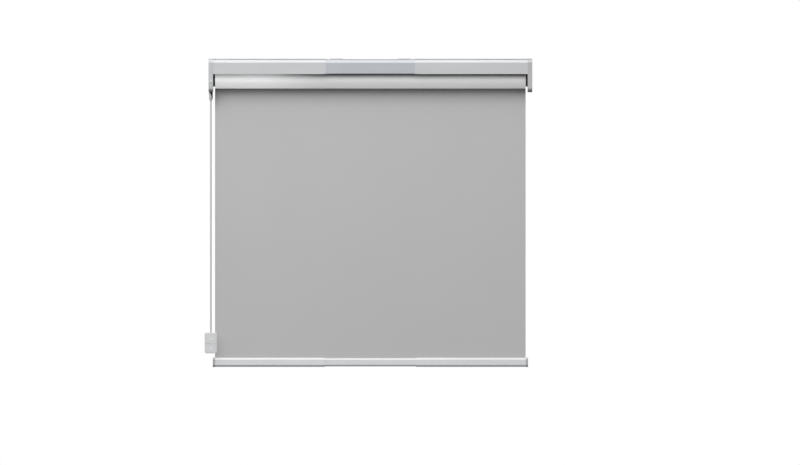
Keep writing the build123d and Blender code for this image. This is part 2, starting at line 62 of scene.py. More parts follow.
# ---- camera: the photograph's frame, 3.091 mm to a pixel in the plane of the roll ------------------------------
PX = 0.003091
DIST = 40.0
cam_data = bpy.data.cameras.new("camera")
cam_data.sensor_width = 36.0
cam_data.lens = 36.0 * DIST / (800 * PX)
cam_data.clip_start, cam_data.clip_end = 1.0, 120.0
cam = bpy.data.objects.new("camera", cam_data)
cam.location = ((400 - 370.4) * PX, -0.04 - DIST, (66.52 - 232.5) * PX)
cam.rotation_euler = (math.radians(90), 0, 0)
SC.collection.objects.link(cam)
SC.camera = cam


# ---- mesh helpers ------------------------------------------------------------------------------------------------
def mesh_object(name, verts, faces, smooth=True, recalc=True):
    me = bpy.data.meshes.new(name)
    me.from_pydata([tuple(map(float, v)) for v in verts], [], faces)
    if recalc:
        bm = bmesh.new()
        bm.from_mesh(me)
        bmesh.ops.recalc_face_normals(bm, faces=bm.faces)
        bm.to_mesh(me)
        bm.free()
    me.polygons.foreach_set("use_smooth", [smooth] * len(me.polygons))
    me.update()
    o = bpy.data.objects.new(name, me)
    SC.collection.objects.link(o)
    return o


def sharpen(o, degrees=35.0):
    """Keeps an edge hard where its two faces meet at more than this."""
    me = o.data
    bm = bmesh.new()
    bm.from_mesh(me)
    limit = math.radians(degrees)
    hard = [e.is_manifold and e.calc_face_angle(0.0) > limit for e in bm.edges]
    bm.free()
    a = me.attributes.get("sharp_edge") or me.attributes.new("sharp_edge", "BOOLEAN", "EDGE")
    a.data.foreach_set("value", hard)
    me.update()


def line_of(curve_object):
    """The points along a curve that has no bevel."""
    bpy.context.view_layer.update()
    dg = bpy.context.evaluated_depsgraph_get()
    me = bpy.data.meshes.new_from_object(curve_object.evaluated_get(dg))
    pts = np.array([v.co for v in me.vertices], float)
    bpy.data.meshes.remove(me)
    return pts


def nurbs(name, points, resolution=24):
    cu = bpy.data.curves.new(name, "CURVE")
    cu.dimensions = "3D"
    sp = cu.splines.new("NURBS")
    sp.points.add(len(points) - 1)
    for p, q in zip(sp.points, points):
        p.co = (*q, 1.0)
    sp.order_u = 3
    sp.use_endpoint_u = True
    sp.resolution_u = resolution
    cu.resolution_u = resolution
    o = bpy.data.objects.new(name, cu)
    SC.collection.objects.link(o)
    return o


def tube(name, pts, radius, sides=12):
    """A closed round tube along points; radius is one number or one for each point."""
    pts = np.asarray(pts, float)
    n = len(pts)
    radii = np.broadcast_to(np.asarray(radius, float), (n,))
    t = np.gradient(pts, axis=0)
    t /= np.linalg.norm(t, axis=1)[:, None]
    u = np.cross(t[0], (0.0, 1.0, 0.0) if abs(t[0][1]) < 0.9 else (1.0, 0.0, 0.0))
    u /= np.linalg.norm(u)
    verts = []
    for i in range(n):
        u = u - t[i] * (u @ t[i])
        u /= np.linalg.norm(u)
        v = np.cross(t[i], u)
        for k in range(sides):
            a = 2 * math.pi * k / sides
            verts.append(pts[i] + radii[i] * (math.cos(a) * u + math.sin(a) * v))
    faces = []
    for i in range(n - 1):
        for k in range(sides):
            a, b = i * sides + k, i * sides + (k + 1) % sides
            faces.append((a, b, b + sides, a + sides))
    faces.append(tuple(range(sides)))
    faces.append(tuple((n - 1) * sides + k for k in range(sides)))
    return mesh_object(name, verts, faces)


# ---- the pendant's cord -------------------------------------------------------------------------------------------
# Straight down from inside the boot to inside the pendant: it carries the pendant's weight.
route = nurbs("pendant_cord_route", [(CORD_X, CORD_Y, z) for z in (-0.1035, -0.112, -0.125, -0.150, -0.300, -0.600, -0.828)], 28)
cord_line = line_of(route)
bpy.data.objects.remove(route)
cord_tube = tube("cord_jacket", cord_line, 0.0025, 16)


# ---- materials ----------------------------------------------------------------------------------------------------
class Mat:
    """A material with its node tree and short names for the nodes used here."""

    def __init__(self, name, base=(0.5, 0.5, 0.5), rough=0.5, metal=0.0, **sockets):
        self.m = bpy.data.materials.new(name)
        self.m.use_nodes = True
        self.nt = self.m.node_tree
        self.b = self.nt.nodes["Principled BSDF"]
        self.b.inputs["Base Color"].default_value = (*base, 1.0)
        self.b.inputs["Roughness"].default_value = rough
        self.b.inputs["Metallic"].default_value = metal
        for k, v in sockets.items():
            self.b.inputs[k.replace("_", " ")].default_value = v
        self._at = {}
        self.m.diffuse_color = (*base, 1.0)

    def node(self, kind, **props):
        n = self.nt.nodes.new(kind)
        for k, v in props.items():
            setattr(n, k, v)
        return n

    def link(self, a, b):
        self.nt.links.new(a, b)

    def at(self, sx=1.0, sy=1.0, sz=1.0, move=(0, 0, 0)):
        """Object coordinates in metres, scaled."""
        key = (sx, sy, sz, move)
        if key not in self._at:
            if "tc" not in self._at:
                self._at["tc"] = self.node("ShaderNodeTexCoord")
            mp = self.node("ShaderNodeMapping")
            mp.inputs["Location"].default_value = move
            mp.inputs["Scale"].default_value = (sx, sy, sz)
            self.link(self._at["tc"].outputs["Object"], mp.inputs["Vector"])
            self._at[key] = mp.outputs["Vector"]
        return self._at[key]

    def xyz(self):
        if "xyz" not in self._at:
            s = self.node("ShaderNodeSeparateXYZ")
            self.link(self.at(), s.inputs[0])
            self._at["xyz"] = s.outputs
        return self._at["xyz"]

    def noise(self, vec, scale=1.0, detail=2.0, rough=0.5):
        n = self.node("ShaderNodeTexNoise")
        n.inputs["Scale"].default_value = scale
        n.inputs["Detail"].default_value = detail
        n.inputs["Roughness"].default_value = rough
        self.link(vec, n.inputs["Vector"])
        return n.outputs["Fac"]

    def voronoi(self, vec, scale=1.0, feature="F1"):
        n = self.node("ShaderNodeTexVoronoi", feature=feature)
        n.inputs["Scale"].default_value = scale
        self.link(vec, n.inputs["Vector"])
        return n.outputs["Distance"]

    def math(self, op, a, b=None, c=None):
        n = self.node("ShaderNodeMath", operation=op)
        for i, v in enumerate((a, b, c)):
            if v is None:
                continue
            if isinstance(v, (int, float)):
                n.inputs[i].default_value = v
            else:
                self.link(v, n.inputs[i])
        return n.outputs[0]

    def span(self, v, f0, f1, t0, t1):
        n = self.node("ShaderNodeMapRange")
        for i, x in ((1, f0), (2, f1), (3, t0), (4, t1)):
            n.inputs[i].default_value = x
        self.link(v, n.inputs[0])
        return n.outputs[0]

    def mix(self, fac, a, b):
        n = self.node("ShaderNodeMix", data_type="RGBA")
        self.link(fac, n.inputs[0])
        for i, v in ((6, a), (7, b)):
            if isinstance(v, tuple):
                n.inputs[i].default_value = (*v, 1.0)
            else:
                self.link(v, n.inputs[i])
        return n.outputs[2]

    def bump(self, height, distance, strength=1.0, normal=None):
        n = self.node("ShaderNodeBump")
        n.inputs["Strength"].default_value = strength
        n.inputs["Distance"].default_value = distance
        self.link(height, n.inputs["Height"])
        if normal is not None:
            self.link(normal, n.inputs["Normal"])
        return n.outputs["Normal"]

    def out(self, color=None, rough=None, normal=None):
        if color is not None:
            self.link(color, self.b.inputs["Base Color"])
        if rough is not None:
            self.link(rough, self.b.inputs["Roughness"])
        if normal is not None:
            self.link(normal, self.b.inputs["Normal"])
        return self.m


def shade(c, f):
    return tuple(min(1.0, x * f) for x in c)


def drawn_metal(name, base, rough=0.40, metal=1.0, along="x", var=0.045, bump=1.0e-5):
    """Extruded or drawn metal: fine lines along its length, and a slow change of tone."""
    m = Mat(name, base, rough, metal)
    fine = {"x": (6.0, 1500.0, 1500.0), "y": (1500.0, 6.0, 1500.0), "z": (1500.0, 1500.0, 6.0)}[along]
    lines = m.noise(m.at(*fine), 1.0, 3.0, 0.6)
    slow = m.noise(m.at(5.0, 14.0, 14.0), 1.0, 2.0)
    tone = m.math("ADD", m.math("MULTIPLY", lines, 0.5), m.math("MULTIPLY", slow, 0.5))
    color = m.mix(m.span(tone, 0.3, 0.7, 0.0, 1.0), shade(base, 1 - var), shade(base, 1 + var))
    return m.out(color, m.span(lines, 0.25, 0.75, rough - 0.05, rough + 0.06), m.bump(lines, bump))


def moulded(name, base, rough=0.45, grain=900.0, bump=2.0e-5, var=0.03, spec=0.5, painted_gap_shade=None):
    """Injection moulded plastic: spark-eroded grain and a faint flow of tone. The last argument, when given, is (x,
    half width, z, half height, tone) of a strip of painted shade: colour darkened where a gap between parts lies in
    shadow.
    """
    m = Mat(name, base, rough, 0.0, Specular_IOR_Level=spec)
    fine = m.noise(m.at(), grain, 2.0, 0.6)
    pits = m.voronoi(m.at(), grain * 0.7)
    slow = m.noise(m.at(), 38.0, 3.0)
    tone = m.math("ADD", m.math("MULTIPLY", fine, 0.35), m.math("MULTIPLY", slow, 0.65))
    color = m.mix(m.span(tone, 0.3, 0.7, 0.0, 1.0), shade(base, 1 - var), shade(base, 1 + var))
    height = m.math("ADD", m.math("MULTIPLY", fine, 0.6), m.math("MULTIPLY", pits, 0.4))
    # A strip of painted shade: the colour is darkened inside it to stand in for the shadow in a gap.
    if painted_gap_shade:
        gx, gw, gz, gh, dim = painted_gap_shade
        x, y, z = m.xyz()
        inside = m.math("MULTIPLY", m.math("LESS_THAN", m.math("ABSOLUTE", m.math("SUBTRACT", x, gx)), gw),
                        m.math("LESS_THAN", m.math("ABSOLUTE", m.math("SUBTRACT", z, gz)), gh))
        color = m.mix(inside, color, shade(base, dim))
    return m.out(color, m.span(fine, 0.3, 0.7, rough - 0.05, rough + 0.06), m.bump(height, bump))


def rubber(name, base, rough=0.6, grain=1600.0, var=0.03):
    m = Mat(name, base, rough, 0.0, Specular_IOR_Level=0.35)
    fine = m.noise(m.at(), grain, 2.0, 0.6)
    slow = m.noise(m.at(12.0, 12.0, 6.0), 3.0, 2.0)
    color = m.mix(m.span(slow, 0.3, 0.7, 0.0, 1.0), shade(base, 1 - var), shade(base, 1 + var))
    return m.out(color, m.span(fine, 0.3, 0.7, rough - 0.06, rough + 0.08), m.bump(fine, 1.0e-5))


def zinc(name, base, rough=0.36):
    """Zinc plated sheet: cloudy patches and very fine scratches."""
    m = Mat(name, base, rough, 1.0)
    cloud = m.noise(m.at(), 55.0, 4.0, 0.6)
    spots = m.voronoi(m.at(), 140.0)
    fine = m.noise(m.at(900.0, 60.0, 900.0), 1.0, 2.0)
    tone = m.math("ADD", m.math("MULTIPLY", cloud, 0.7), m.math("MULTIPLY", spots, 0.3))
    color = m.mix(m.span(tone, 0.2, 0.75, 0.0, 1.0), shade(base, 0.90), shade(base, 1.06))
    return m.out(color, m.span(tone, 0.2, 0.8, rough - 0.08, rough + 0.12), m.bump(fine, 5e-6))


WEAVE = 0.00055      # thread pitch of the cloth


def woven(name, base, rough, round_roll=False, relief=4.0e-5, threads=0.06, slub=0.022, spec=0.25):
    """Plain weave, coated: threads over and under, thicker threads here and there, and a slow change of tone."""
    m = Mat(name, base, rough, 0.0, Specular_IOR_Level=spec)
    x, y, z = m.xyz()
    if round_roll:
        a = m.math("ARCTAN2", m.math("SUBTRACT", z, ROLL_Z), m.math("SUBTRACT", y, ROLL_Y))
        v = m.math("MULTIPLY", a, 0.0235)
    else:
        v = z
    k = math.pi / WEAVE
    warp = m.math("MULTIPLY", x, k)
    weft = m.math("MULTIPLY", v, k)
    a, b = m.math("SINE", warp), m.math("SINE", weft)
    over = m.math("MULTIPLY", a, b)
    thread = m.math("MULTIPLY", m.math("ADD", m.math("ABSOLUTE", a), m.math("ABSOLUTE", b)), 0.5)
    height = m.math("ADD", m.math("MULTIPLY", over, 0.25), thread)
    if round_roll:
        slow = m.noise(m.at(7.0, 30.0, 30.0), 1.0, 3.0)
        slub_v = m.noise(m.at(14.0, 700.0, 700.0), 1.0, 2.0)
        slub_h = m.noise(m.at(700.0, 20.0, 20.0), 1.0, 2.0)
    else:
        slow = m.noise(m.at(5.0, 0.0, 4.0), 1.0, 3.0)
        slub_v = m.noise(m.at(900.0, 0.0, 9.0), 1.0, 2.0)
        slub_h = m.noise(m.at(11.0, 0.0, 900.0), 1.0, 2.0)
    t1 = m.math("MULTIPLY", m.math("SUBTRACT", height, 0.6), threads)
    t2 = m.math("MULTIPLY", m.math("SUBTRACT", m.math("ADD", slub_v, slub_h), 1.0), slub)
    t3 = m.math("MULTIPLY", m.math("SUBTRACT", slow, 0.5), 0.035)
    tone = m.math("ADD", m.math("ADD", t1, t2), t3)
    color = m.mix(m.span(tone, -0.2, 0.2, 0.0, 1.0), shade(base, 0.80), shade(base, 1.20))
    total = m.math("ADD", height, m.math("MULTIPLY", m.math("ADD", slub_v, slub_h), 0.8))
    return m.out(color, None, m.bump(total, relief, 0.6))


M = {}
ALU = (0.570, 0.576, 0.587)
M["rail"] = drawn_metal("rail_aluminium", ALU, 0.44, metal=0.30)
# The bottom rail's materials are lighter copies of the head rail's: partly a lighter finish, partly painted light
# making up for the top strip lamp that leaves the bottom rail out.
M["rail_low_painted_light"] = drawn_metal("rail_aluminium_low_painted_light", (0.712, 0.720, 0.735), 0.50, metal=0.12)
M["rail_inner"] = drawn_metal("rail_aluminium_inner", (0.499, 0.516, 0.547), 0.40, metal=0.35)
# A lighter copy of the inner rail aluminium for the bottom rail profile: partly a lighter finish, partly painted light,
# as above.
M["rail_inner_low_painted_light"] = drawn_metal("rail_aluminium_inner_low_painted_light", (0.700, 0.710, 0.727), 0.48, metal=0.14)
M["tube"] = drawn_metal("tube_aluminium", (0.80, 0.80, 0.81), 0.30)
M["cover_left"] = moulded("cover_plastic", (0.500, 0.505, 0.515), 0.46)
# The right cover is the same plastic as the left one, painted darker: painted shade, as though the light fell from the
# left.
M["cover_right"] = moulded("cover_plastic_right_painted_shade", (0.445, 0.448, 0.455), 0.46)
M["cap"] = moulded("cap_plastic", (0.415, 0.42, 0.425), 0.48)
M["dark"] = moulded("dark_plastic", (0.022, 0.023, 0.026), 0.52, spec=0.4)
M["pendant"] = moulded("pendant_plastic", (0.640, 0.645, 0.652), 0.42, grain=1300.0, bump=7e-6, var=0.012)
# The front shell gets a strip of painted shade across the bar between the two buttons, where the gap between them lies
# in shadow.
M["pendant_front"] = moulded("pendant_front_plastic", (0.640, 0.645, 0.652), 0.42, grain=1300.0, bump=7e-6, var=0.012,
                             painted_gap_shade=(PENDANT_X, 0.0161, DIVIDER_Z, 0.0007, 0.72))
M["button"] = moulded("button_plastic", (0.650, 0.655, 0.662), 0.38, grain=1300.0, bump=5e-6, var=0.012)
M["print"] = moulded("white_print", (0.745, 0.747, 0.750), 0.5, grain=1300.0, bump=4e-6, var=0.01)
M["boot"] = moulded("boot_plastic", (0.56, 0.565, 0.575), 0.45, grain=1300.0)
M["jacket"] = rubber("cord_rubber", (0.515, 0.515, 0.520), 0.5)
M["lead"] = rubber("lead_rubber", (0.030, 0.030, 0.032), 0.5)
M["seal"] = rubber("seal_rubber", (0.46, 0.465, 0.475), 0.62)
M["cloth"] = woven("cloth_front", (0.483, 0.483, 0.483), 0.88)
M["cloth_back"] = woven("cloth_white_side", (0.68, 0.68, 0.68), 0.80)
M["cloth_roll"] = woven("cloth_on_roll", (0.68, 0.68, 0.68), 0.78, round_roll=True)
M["zinc"] = zinc("zinc_steel", (0.62, 0.62, 0.63))
M["strip"] = moulded("strip_plastic", (0.70, 0.70, 0.70), 0.42)


def turned_steel(name, base, rough=0.28):
    """Turned steel: rings round its axis, and an oily tint."""
    m = Mat(name, base, rough, 1.0)
    rings = m.noise(m.at(4200.0, 3.0, 3.0), 1.0, 2.0)
    film = m.noise(m.at(), 90.0, 3.0)
    color = m.mix(m.span(film, 0.3, 0.7, 0.0, 1.0), shade(base, 0.86), (base[0] * 1.04, base[1] * 1.02, base[2] * 0.95))
    return m.out(color, m.span(film, 0.3, 0.7, rough - 0.06, rough + 0.12), m.bump(rings, 8e-6))


def sintered(name, base, rough=0.45):
    m = Mat(name, base, rough, 1.0)
    pores = m.voronoi(m.at(), 2600.0)
    film = m.noise(m.at(), 120.0, 3.0)
    color = m.mix(m.span(film, 0.3, 0.7, 0.0, 1.0), shade(base, 0.80), shade(base, 1.08))
    return m.out(color, m.span(pores, 0.1, 0.7, rough - 0.08, rough + 0.14), m.bump(pores, 1.2e-5))


def windings(name):
    """Armature: lacquered copper wire in slots, laminated steel poles between, told apart by their place along the shaft."""
    m = Mat(name, (0.60, 0.30, 0.13), 0.32, 1.0)
    x, y, z = m.xyz()
    wire = m.math("ABSOLUTE", m.math("SINE", m.math("MULTIPLY", x, math.pi / 0.0007)))
    slow = m.noise(m.at(), 160.0, 2.0)
    copper = m.mix(m.span(slow, 0.3, 0.7, 0.0, 1.0), (0.50, 0.22, 0.09), (0.68, 0.36, 0.18))
    steel = m.mix(m.span(wire, 0.0, 1.0, 0.0, 1.0), (0.30, 0.30, 0.31), (0.50, 0.50, 0.51))
    r2 = m.math("ADD", m.math("POWER", m.math("SUBTRACT", y, ROLL_Y), 2.0), m.math("POWER", m.math("SUBTRACT", z, ROLL_Z), 2.0))
    outer = m.math("GREATER_THAN", r2, 0.0108 ** 2)
    inner = m.math("LESS_THAN", r2, 0.0045 ** 2)
    color = m.mix(m.math("MAXIMUM", outer, inner), copper, steel)
    return m.out(color, None, m.bump(wire, 4e-5))


def circuit_board(name, top=None):
    """Green board with lighter tracks and tinned pads. What stands above top: a black chip, grey coils and a cream connector, told apart by x."""
    m = Mat(name, (0.02, 0.14, 0.06), 0.35, 0.0, Coat_Weight=0.3)
    cells = m.voronoi(m.at(1.0, 1.0, 1.0), 420.0, "DISTANCE_TO_EDGE")
    track = m.span(cells, 0.03, 0.07, 1.0, 0.0)
    pads = m.voronoi(m.at(1.0, 1.0, 1.0), 300.0)
    pad = m.math("LESS_THAN", pads, 0.10)
    green = m.mix(track, (0.012, 0.095, 0.040), (0.030, 0.210, 0.090))
    color = m.mix(pad, green, (0.62, 0.62, 0.60))
    if top is not None:
        x, y, z = m.xyz()
        speck = m.span(m.noise(m.at(), 1500.0, 2.0), 0.3, 0.7, 0.0, 1.0)
        chip = m.mix(speck, (0.016, 0.016, 0.018), (0.030, 0.030, 0.032))
        coil = m.mix(speck, (0.16, 0.16, 0.17), (0.24, 0.24, 0.25))
        plug = m.mix(speck, (0.66, 0.63, 0.54), (0.74, 0.71, 0.62))
        part = m.mix(m.math("GREATER_THAN", x, -0.4445), chip, coil)
        part = m.mix(m.math("GREATER_THAN", x, -0.4320), part, plug)
        color = m.mix(m.math("GREATER_THAN", z, top), color, part)
    return m.out(color, m.span(track, 0.0, 1.0, 0.42, 0.30), m.bump(track, 2e-5))


def shrink_wrap(name):
    """Printed blue film, shrunk on: small creases and a paler band."""
    m = Mat(name, (0.045, 0.12, 0.30), 0.28, 0.0, Coat_Weight=0.4)
    x, y, z = m.xyz()
    crease = m.noise(m.at(60.0, 600.0, 600.0), 1.0, 3.0)
    slow = m.noise(m.at(), 30.0, 2.0)
    blue = m.mix(m.span(slow, 0.3, 0.7, 0.0, 1.0), (0.035, 0.10, 0.26), (0.055, 0.15, 0.36))
    band = m.math("LESS_THAN", m.math("ABSOLUTE", m.math("SUBTRACT", x, 0.09)), 0.004)
    color = m.mix(band, blue, (0.62, 0.66, 0.72))
    return m.out(color, m.span(crease, 0.3, 0.7, 0.22, 0.40), m.bump(crease, 2e-5))


def clear_plastic(name):
    m = Mat(name, (0.92, 0.94, 0.93), 0.18, 0.0, Transmission_Weight=0.08, IOR=1.49)
    cloud = m.noise(m.at(), 700.0, 3.0)
    color = m.mix(m.span(cloud, 0.3, 0.7, 0.0, 1.0), (0.86, 0.89, 0.87), (0.94, 0.96, 0.95))
    return m.out(color, m.span(cloud, 0.3, 0.7, 0.12, 0.26), m.bump(cloud, 6e-6))


M["steel_turned"] = turned_steel("turned_steel", (0.60, 0.60, 0.61))
M["gear"] = sintered("sintered_steel", (0.44, 0.43, 0.42))
M["copper"] = windings("copper_windings")
M["board"] = circuit_board("circuit_board")
M["motor_board"] = circuit_board("motor_circuit_board", ROLL_Z + 0.0009)
M["wrap"] = shrink_wrap("battery_wrap")
M["clear"] = clear_plastic("light_pipe_plastic")

LOOK = {
    "rail": ["headrail_sleeve_left", "headrail_sleeve_right"],
    "rail_low_painted_light": ["bottom_sleeve_left", "bottom_sleeve_right"],
    "rail_inner": ["headrail_profile"],
    "rail_inner_low_painted_light": ["bottom_rail_profile"],
    "tube": ["tube_centre", "tube_end_left", "tube_end_right"],
    "cover_left": ["end_cover_left"],
    "cover_right": ["end_cover_right"],
    "cap": ["bottom_cap_left", "bottom_cap_right"],
    "dark": ["motor_head", "idler_boss", "idler_plug", "crown_ring", "drive_wheel", "cord_socket", "sleeve_insert_left",
             "sleeve_insert_right", "battery_cradles", "battery_caps"],
    "pendant": ["pendant_back"],
    "pendant_front": ["pendant_front"],
    "button": ["button_up", "button_down", "pair_button"],
    "boot": ["cord_fitting"],
    "seal": ["charge_flap"],
    "zinc": ["end_plate_left", "end_plate_right", "end_screws_left", "end_screws_right", "mounting_clips", "weight_bar", "charge_socket"],
    "steel_turned": ["motor_casing", "motor_can", "idler_pin"],
    "gear": ["sun_gear", "planet_gear_1", "planet_gear_2", "planet_gear_3", "ring_gear", "planet_carrier", "gearbox_cover"],
    "copper": ["motor_rotor"],
    "board": ["pendant_board"],
    "motor_board": ["control_board"],
    "wrap": ["battery_casing", "battery_cells"],
    "clear": ["light_pipe"],
    "strip": ["cloth_lock_strip", "hem_rod"],
    "cloth_roll": ["cloth_roll"],
    "cloth": ["shade_cloth"],
    "jacket": ["pendant_cord"],
    "lead": ["battery_lead"],
}
seen = set()
for look, names in LOOK.items():
    for n in names:
        mats = NODES[n].data.materials
        for i in range(max(1, len(mats))):
            if i < len(mats):
                mats[i] = M[look]
            else:
                mats.append(M[look])
        seen.add(n)
NODES["idler_spring"].data.materials[0] = M["steel_turned"]
seen.add("idler_spring")
assert seen == set(NODES), sorted(set(NODES) ^ seen)


def dress(o, *looks):
    for k in looks:
        o.data.materials.append(M[k])
    return o


# ---- the cord, finished ----------------------------------------------------------------------------------------------
dress(cord_tube, "jacket")
sharpen(cord_tube, 60)
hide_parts("pendant_cord")
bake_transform(cord_tube)


# ---- hanging cloth ---------------------------------------------------------------------------------------------------
CLOTH_HALF, CLOTH_F, CLOTH_B, CLOTH_BOT = 0.480, -0.0159, -0.0154, -0.906


def hanging_cloth():
    nx, nz = 96, 88
    xs = np.linspace(-CLOTH_HALF - 0.0006, CLOTH_HALF, nx + 1)
    zs = np.linspace(ROLL_Z, CLOTH_BOT, nz + 1)
    rng = np.random.default_rng(7)
    waves = [(rng.uniform(2.0, 9.0), rng.uniform(0.4, 2.4), rng.uniform(0, 6.28), rng.uniform(0, 6.28), rng.uniform(0.4, 1.0)) for _ in range(7)]
    verts = []
    for side_y in (CLOTH_F, CLOTH_B):
        for z in zs:
            s = (ROLL_Z - z) / (ROLL_Z - CLOTH_BOT)
            hold = math.sin(math.pi * min(1.0, s / 0.97)) ** 1.2 if s < 0.97 else 0.0
            for x in xs:
                u = sum(w[4] * math.sin(w[0] * x * 3.2 + w[2]) * math.sin(w[1] * s * 3.2 + w[3]) for w in waves) / 7
                edge = 1.0 + 1.6 * abs(x / CLOTH_HALF) ** 6
                verts.append((x, side_y + 0.0009 * hold * u * edge, z))
    w = nx + 1
    layer = w * (nz + 1)
    faces, kinds = [], []

    def add(f, kind):
        faces.append(f)
        kinds.append(kind)

    for j in range(nz):
        for i in range(nx):
            a, b, c, d = j * w + i, j * w + i + 1, (j + 1) * w + i + 1, (j + 1) * w + i
            add((a, d, c, b), 0)
            add((a + layer, b + layer, c + layer, d + layer), 1)
    for i in range(nx):
        a, b = i, i + 1
        add((a, b, b + layer, a + layer), 0)
        a, b = nz * w + i, nz * w + i + 1
        add((a, a + layer, b + layer, b), 0)
    for j in range(nz):
        a, b = j * w, (j + 1) * w
        add((a, a + layer, b + layer, b), 0)
        a, b = j * w + nx, (j + 1) * w + nx
        add((a, b, b + layer, a + layer), 0)
    o = mesh_object("cloth_hanging", verts, faces)
    dress(o, "cloth", "cloth_back")
    o.data.polygons.foreach_set("material_index", kinds)
    sharpen(o, 40)
    return o


cloth = hanging_cloth()
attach(cloth, "headrail")
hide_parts("shade_cloth")
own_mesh(cloth)


# ---- wound cloth -----------------------------------------------------------------------------------------------------
def wound_cloth():
    """The cloth on the tube: a spiral of nine turns inside the outermost one. Its edges don't lie quite in line."""
    per, nxs, t, pitch = 72, 12, 0.00038, 0.0004
    r0, turns = 0.01925, 9.15
    rng = np.random.default_rng(3)
    k = rng.uniform(0, 6.28, 6)
    verts, faces = [], []
    inner_xs = np.linspace(-0.474, 0.474, nxs - 1)

    def stations(phi):
        e = 0.00022 * math.sin(phi * 0.31 + k[0]) + 0.00012 * math.sin(phi * 1.7 + k[1])
        f = 0.00022 * math.sin(phi * 0.27 + k[2]) + 0.00012 * math.sin(phi * 1.3 + k[3])
        return [-0.4797 - e * 0.8, *inner_xs, 0.4797 + f * 0.8]

    def layer(n, radius_of, closed):
        base = len(verts)
        m = nxs + 1
        for side in (-0.5, 0.5):
            for i in range(n):
                phi = 2 * math.pi * i / per
                r = radius_of(phi) + side * t
                y, z = ROLL_Y + r * math.cos(phi), ROLL_Z + r * math.sin(phi)
                for x in stations(phi if not closed else 0.0):
                    verts.append((x, y, z))
        step = n * m
        last = n if closed else n - 1
        for i in range(last):
            i2 = (i + 1) % n
            for j in range(nxs):
                a, b, c, d = base + i * m + j, base + i * m + j + 1, base + i2 * m + j + 1, base + i2 * m + j
                faces.append((a, b, c, d))
                faces.append((a + step, d + step, c + step, b + step))
            for j in (0, nxs):
                a, d = base + i * m + j, base + i2 * m + j
                faces.append((a, d, d + step, a + step) if j == 0 else (a, a + step, d + step, d))
        if not closed:
            for i in (0, n - 1):
                for j in range(nxs):
                    a, b = base + i * m + j, base + i * m + j + 1
                    faces.append((a, a + step, b + step, b) if i == 0 else (a, b, b + step, a + step))

    layer(int(turns * per), lambda phi: r0 + pitch * phi / (2 * math.pi), False)
    layer(per, lambda phi: 0.0235 - t / 2, True)
    o = mesh_object("cloth_wound", verts, faces)
    dress(o, "cloth_roll")
    sharpen(o, 40)
    return o


wound = wound_cloth()
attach(wound, "roll")
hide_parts("cloth_roll")


# ---- arrows on the two buttons -----------------------------------------------------------------------------------------
def arrow(name, cz, up):
    """A raised triangle with rounded corners."""
    s = 1 if up else -1
    w, h, r = 0.0066, 0.0090, 0.0013
    corners = [(-w, -s * h / 2), (w, -s * h / 2), (0.0, s * h / 2)]
    pts = []
    for i, (cx, cy) in enumerate(corners):
        p, q = corners[i - 1], corners[(i + 1) % 3]
        a, b = Vector((p[0] - cx, p[1] - cy)).normalized(), Vector((q[0] - cx, q[1] - cy)).normalized()
        half = a.angle(b) / 2
        mid = (a + b).normalized()
        centre = Vector((cx, cy)) + mid * (r / math.sin(half))
        t0 = Vector((cx, cy)) + a * (r / math.tan(half)) - centre
        t1 = Vector((cx, cy)) + b * (r / math.tan(half)) - centre
        a0, a1 = math.atan2(t0.y, t0.x), math.atan2(t1.y, t1.x)
        d = (a1 - a0 + math.pi) % (2 * math.pi) - math.pi
        for k in range(7):
            ang = a0 + d * k / 6
            pts.append((centre.x + r * math.cos(ang), centre.y + r * math.sin(ang)))
    n = len(pts)
    verts = []
    cx0 = sum(p[0] for p in pts) / n
    cy0 = sum(p[1] for p in pts) / n
    for depth, inset in ((0.0001, 0.0), (-0.00010, 0.0), (-0.00018, 0.00010)):
        for x, z in pts:
            f = 1 - inset / 0.003
            verts.append((PENDANT_X + cx0 + (x - cx0) * f, BUTTON_FACE_Y + depth, cz + cy0 + (z - cy0) * f))
    faces = [tuple(range(n)), tuple(range(2 * n, 3 * n))]
    for ring in (0, 1):
        for i in range(n):
            a, b = ring * n + i, ring * n + (i + 1) % n
            faces.append((a, b, b + n, a + n))
    o = mesh_object(name, verts, faces, smooth=False)
    return dress(o, "print")


for name, cz, up, body in (("arrow_up", -0.8402, True, "button_up"), ("arrow_down", -0.8724, False, "button_down")):
    a = arrow(name, cz, up)
    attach(a, body)


# ---- coiled battery lead, a little closer in the middle so that it can stretch more evenly as the left side slides out -----
def coiled_lead():
    y, z0, z1 = -0.0395, 0.0, 0.001
    pts = [(-0.1465 - 0.0008 * i, y, z0) for i in range(10)]
    x_a, x_b, turns, r = -0.156, -0.4915, 150, 0.0024
    n = turns * 12
    grid = np.linspace(0, 1, 401)
    t = np.clip((-0.160 - (x_a + (x_b - x_a) * grid)) / 0.328, 0, 1)
    opened = grid * (x_a - x_b) + 0.150 * t * t * (3 - 2 * t)          # where each point goes when the left side is right out
    target = 0.5 * opened / opened[-1] + 0.5 * grid
    for i in range(n + 1):
        s = float(np.interp(i / n, target, grid))
        rr = r * min(1.0, i / 18.0, (n - i) / 18.0)
        ph = 2 * math.pi * turns * i / n
        pts.append((x_a + (x_b - x_a) * s, y + rr * math.cos(ph), z0 + (z1 - z0) * min(1.0, i / 24.0) + rr * math.sin(ph)))
    pts += [(x_b - 0.0008 * i, y, z1) for i in range(1, 4)]
    return dress(tube("battery_lead_coil", pts, 0.00075, 7), "lead")


lead = coiled_lead()
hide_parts("battery_lead")
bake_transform(lead)


